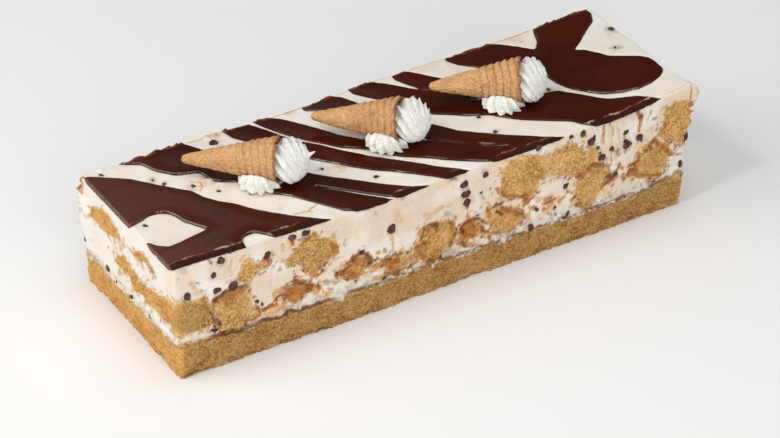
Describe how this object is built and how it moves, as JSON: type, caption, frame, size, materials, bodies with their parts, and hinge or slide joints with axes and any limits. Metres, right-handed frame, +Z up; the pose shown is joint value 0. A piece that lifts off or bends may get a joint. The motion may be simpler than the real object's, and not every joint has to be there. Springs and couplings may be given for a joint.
{
  "type": "bar cake",
  "caption": "Long bar cake: sponge base, cream with sponge pieces and chocolate chips, diagonal chocolate stripes and small waffle cones with piped cream on top.",
  "frame": {"origin": "middle of the flat underside of the sponge base, where it stands", "axes": "+X along the cake's length, +Y across it to the back, +Z up"},
  "size_m": [0.2844, 0.0954, 0.0867],
  "materials": {
    "sponge": "golden sponge cake with open pores, matt",
    "cream": "pale cream filling, soft sheen, with dark chips and caramel smears",
    "chocolate": "dark chocolate icing, satin gloss",
    "waffle": "baked rolled wafer, rough and matt",
    "whipped_cream": "white piped cream, soft sheen"
  },
  "bodies": {
    "root": {"sponge_base": "sponge", "cream_body": "cream", "sponge_chunk_01": "sponge", "sponge_chunk_02": "sponge", "sponge_chunk_03": "sponge", "sponge_chunk_04": "sponge", "sponge_chunk_05": "sponge", "sponge_chunk_06": "sponge", "sponge_chunk_07": "sponge", "sponge_chunk_08": "sponge", "sponge_chunk_09": "sponge", "sponge_chunk_10": "sponge", "sponge_chunk_11": "sponge", "sponge_chunk_12": "sponge", "sponge_chunk_13": "sponge", "sponge_chunk_14": "sponge", "sponge_chunk_15": "sponge", "sponge_chunk_16": "sponge", "sponge_chunk_17": "sponge", "sponge_chunk_18": "sponge", "sponge_chunk_19": "sponge", "sponge_chunk_20": "sponge", "sponge_chunk_21": "sponge", "sponge_chunk_22": "sponge", "sponge_chunk_23": "sponge", "sponge_chunk_24": "sponge", "sponge_chunk_25": "sponge", "sponge_chunk_26": "sponge", "sponge_chunk_27": "sponge", "sponge_chunk_28": "sponge", "sponge_chunk_29": "sponge", "sponge_chunk_30": "sponge", "sponge_chunk_31": "sponge", "sponge_chunk_32": "sponge", "sponge_chunk_33": "sponge", "chocolate_stripe_1": "chocolate", "chocolate_stripe_2": "chocolate", "chocolate_stripe_3": "chocolate", "chocolate_stripe_4": "chocolate", "chocolate_stripe_5": "chocolate", "chocolate_stripe_6": "chocolate", "waffle_cone_1": "waffle", "waffle_cone_2": "waffle", "waffle_cone_3": "waffle", "cream_rosette_1": "whipped_cream", "cream_rosette_2": "whipped_cream", "cream_rosette_3": "whipped_cream", "cream_dollop_1": "whipped_cream", "cream_dollop_2": "whipped_cream", "cream_dollop_3": "whipped_cream"}
  },
  "joints": []
}
